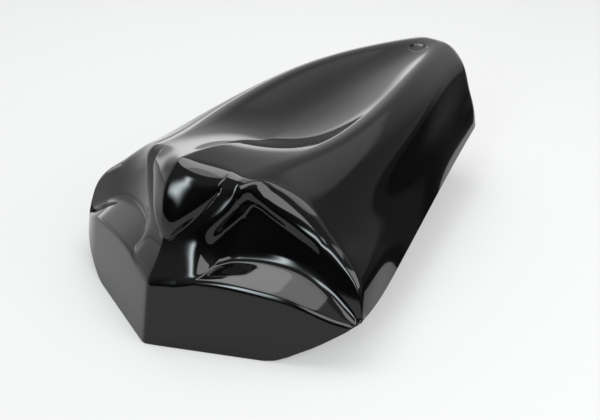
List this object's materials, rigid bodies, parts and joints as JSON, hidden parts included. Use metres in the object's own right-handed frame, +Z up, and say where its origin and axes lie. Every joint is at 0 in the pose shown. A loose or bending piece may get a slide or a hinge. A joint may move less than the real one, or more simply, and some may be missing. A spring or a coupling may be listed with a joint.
{
  "type": "seat cowl",
  "caption": "Glossy black motorbike seat cowl: a hollow tapering hump with a raked prow, scooped front recesses, a keeled nose and a dished top, open underneath.",
  "frame": {"origin": "centre of the shell's length and width, at the height of the prow's lower edge, which is its lowest line", "axes": "+Y from the prow to the tail, +Z up, X across; the shell is symmetric about X = 0"},
  "size_m": [0.274, 0.3866, 0.1317],
  "materials": {
    "cowl": "high gloss, with fine polishing marks"
  },
  "bodies": {
    "root": {"cowl_shell": "cowl"}
  },
  "joints": []
}
